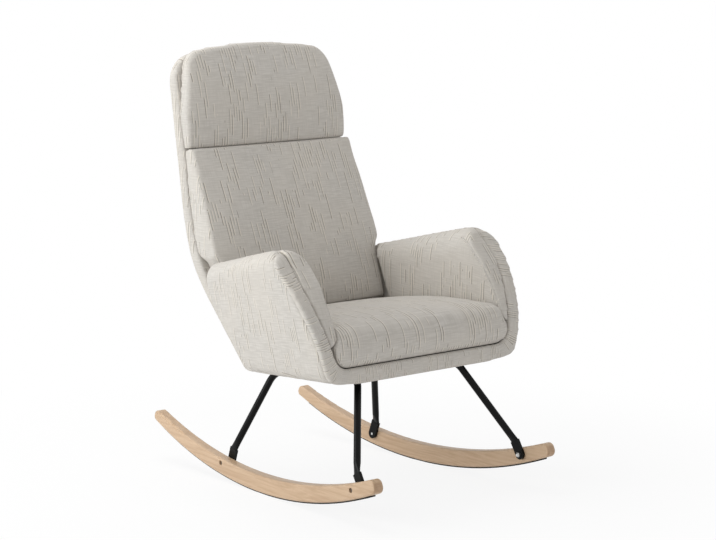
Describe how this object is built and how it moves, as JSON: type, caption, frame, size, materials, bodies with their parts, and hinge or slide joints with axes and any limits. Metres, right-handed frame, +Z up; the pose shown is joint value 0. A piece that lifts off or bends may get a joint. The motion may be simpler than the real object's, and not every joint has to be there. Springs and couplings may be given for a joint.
{
  "type": "upholstered rocking chair",
  "caption": "Upholstered rocking chair: padded shell with flared arms, loose seat cushion, back and head cushions, bent steel tube legs on curved wooden rockers.",
  "frame": {"origin": "on the floor, midway along and between the rockers (bottom centre of the bounding box)", "axes": "+Z up; the sitter faces -Y; +X is the sitter's left, across the chair"},
  "size_m": [0.6494, 0.8581, 0.9929],
  "materials": {
    "beech": "clear satin lacquer",
    "rubber": "matt",
    "black_steel": "black powder coat, semi-gloss",
    "zinc_steel": "bright zinc",
    "frame_wood": "sawn, unfinished",
    "plywood": "unfinished",
    "webbing": "woven elastic",
    "lining": "plain lining cloth",
    "upholstery": "pale greige chenille weave with short slub dashes",
    "foam": "open-cell foam",
    "fill_bag": "non-woven lining"
  },
  "bodies": {
    "chair": {"arm_board_left": "plywood", "arm_board_right": "plywood", "arm_bolts": "zinc_steel", "arm_border_left": "upholstery", "arm_border_right": "upholstery", "arm_pad_cover_left": "upholstery", "arm_pad_cover_right": "upholstery", "arm_pad_foam_left": "foam", "arm_pad_foam_right": "foam", "arm_panel_left": "upholstery", "arm_panel_right": "upholstery", "back_bolts": "zinc_steel", "back_cushion_cover": "upholstery", "back_cushion_fill_bag": "fill_bag", "back_panel": "upholstery", "back_post_left": "frame_wood", "back_post_right": "frame_wood", "back_rail_middle": "frame_wood", "back_rail_top": "frame_wood", "back_webbing": "webbing", "corner_blocks": "frame_wood", "cross_rail_front": "frame_wood", "cross_rail_rear": "frame_wood", "dust_cover": "lining", "head_cushion_cover": "upholstery", "head_cushion_fill_bag": "fill_bag", "leg_frame_left": "black_steel", "leg_frame_right": "black_steel", "leg_plates": "black_steel", "plate_bolts": "zinc_steel", "rocker_bolts": "zinc_steel", "rocker_left": "beech", "rocker_nuts": "zinc_steel", "rocker_right": "beech", "rocker_strip_left": "rubber", "rocker_strip_right": "rubber", "seat_border": "upholstery", "seat_deck": "lining", "seat_rail_front": "frame_wood", "seat_rail_left": "frame_wood", "seat_rail_rear": "frame_wood", "seat_rail_right": "frame_wood", "seat_webbing_cross": "webbing", "seat_webbing_long": "webbing", "t_nuts": "zinc_steel"},
    "seat_cushion": {"seat_cushion_cover": "upholstery", "seat_cushion_foam": "foam"}
  },
  "joints": [
    {"name": "seat_cushion_pull", "type": "slide", "parent": "chair", "child": "seat_cushion", "axis": [0, -0.9963, 0.0859], "range_m": [0, 0.2]}
  ]
}
